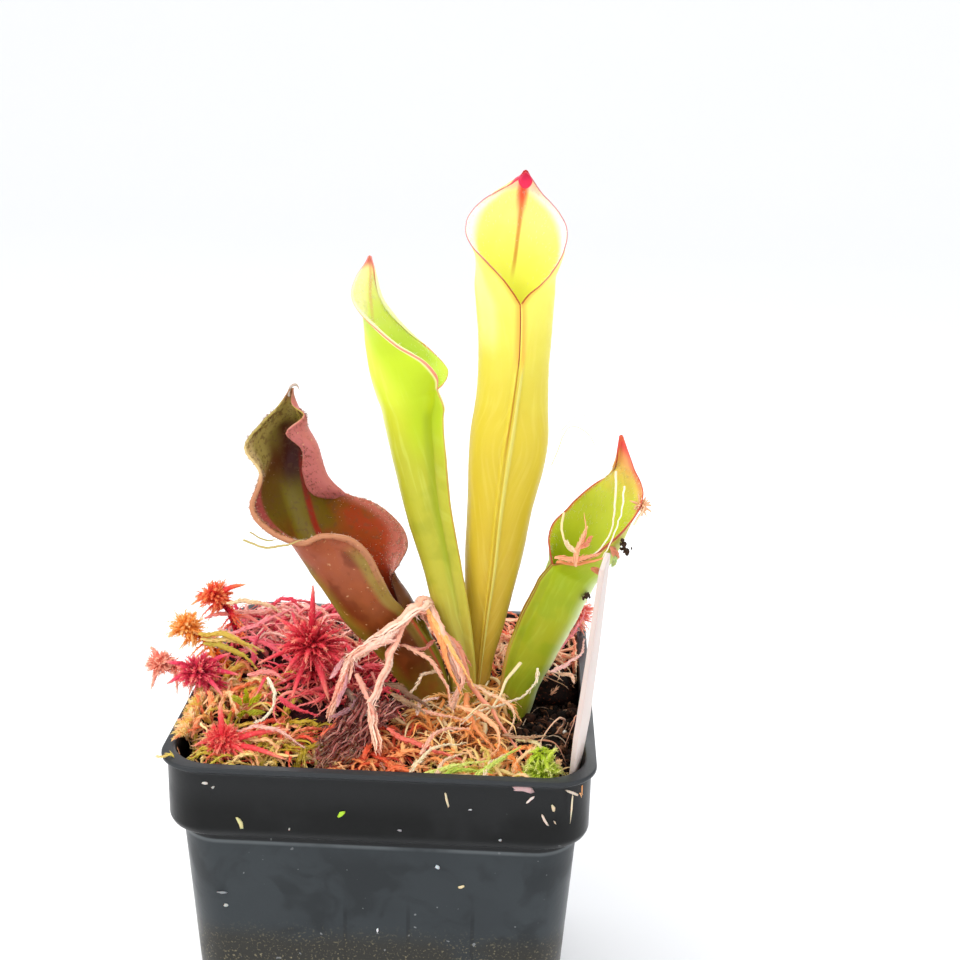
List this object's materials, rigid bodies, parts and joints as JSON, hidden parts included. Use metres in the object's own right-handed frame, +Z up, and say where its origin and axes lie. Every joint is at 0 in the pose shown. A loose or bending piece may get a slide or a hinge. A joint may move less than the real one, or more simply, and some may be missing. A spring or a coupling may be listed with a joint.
{
  "type": "potted carnivorous plant",
  "caption": "Sun pitcher plant with upright tubular leaves over a mat of red and green sphagnum moss in a square black nursery pot, with a blank white plant label.",
  "frame": {"origin": "bottom centre of the pot, on the surface it stands on", "axes": "+Z up, -Y toward the front of the pot, +X to the viewer's right"},
  "size_m": [0.1092, 0.089, 0.1966],
  "materials": {
    "pot_plastic": "satin",
    "peat": "matte",
    "pitcher_yellow": "satin",
    "pitcher_lime": "satin",
    "pitcher_red": "satin",
    "pitcher_green": "satin",
    "label_plastic": "satin",
    "moss_crimson": "matte",
    "moss_pink": "matte",
    "moss_orange": "matte",
    "moss_peach": "matte",
    "moss_lime": "matte",
    "moss_mauve": "matte"
  },
  "bodies": {
    "root": {"pot": "pot_plastic", "soil": "peat", "pitcher_tall": "pitcher_yellow", "pitcher_side": "pitcher_lime", "pitcher_old": "pitcher_red", "pitcher_small": "pitcher_green", "plant_label": "label_plastic", "moss_strand_dead": "moss_peach", "moss_fluff_dead": "moss_mauve", "moss_head_star": "moss_crimson", "moss_head_back": "moss_orange", "moss_head_left": "moss_orange", "moss_head_crimson": "moss_crimson", "moss_head_front": "moss_crimson", "moss_head_pink": "moss_peach", "moss_head_lime": "moss_lime", "moss_head_rear": "moss_pink", "moss_mat_rear_left": "moss_pink", "moss_mat_left": "moss_peach", "moss_mat_front_left": "moss_lime", "moss_mat_front": "moss_crimson", "moss_mat_front_right": "moss_lime", "moss_mat_centre": "moss_orange", "moss_mat_middle": "moss_crimson", "moss_mat_rear": "moss_pink", "moss_mat_rear_right": "moss_pink"}
  },
  "joints": []
}
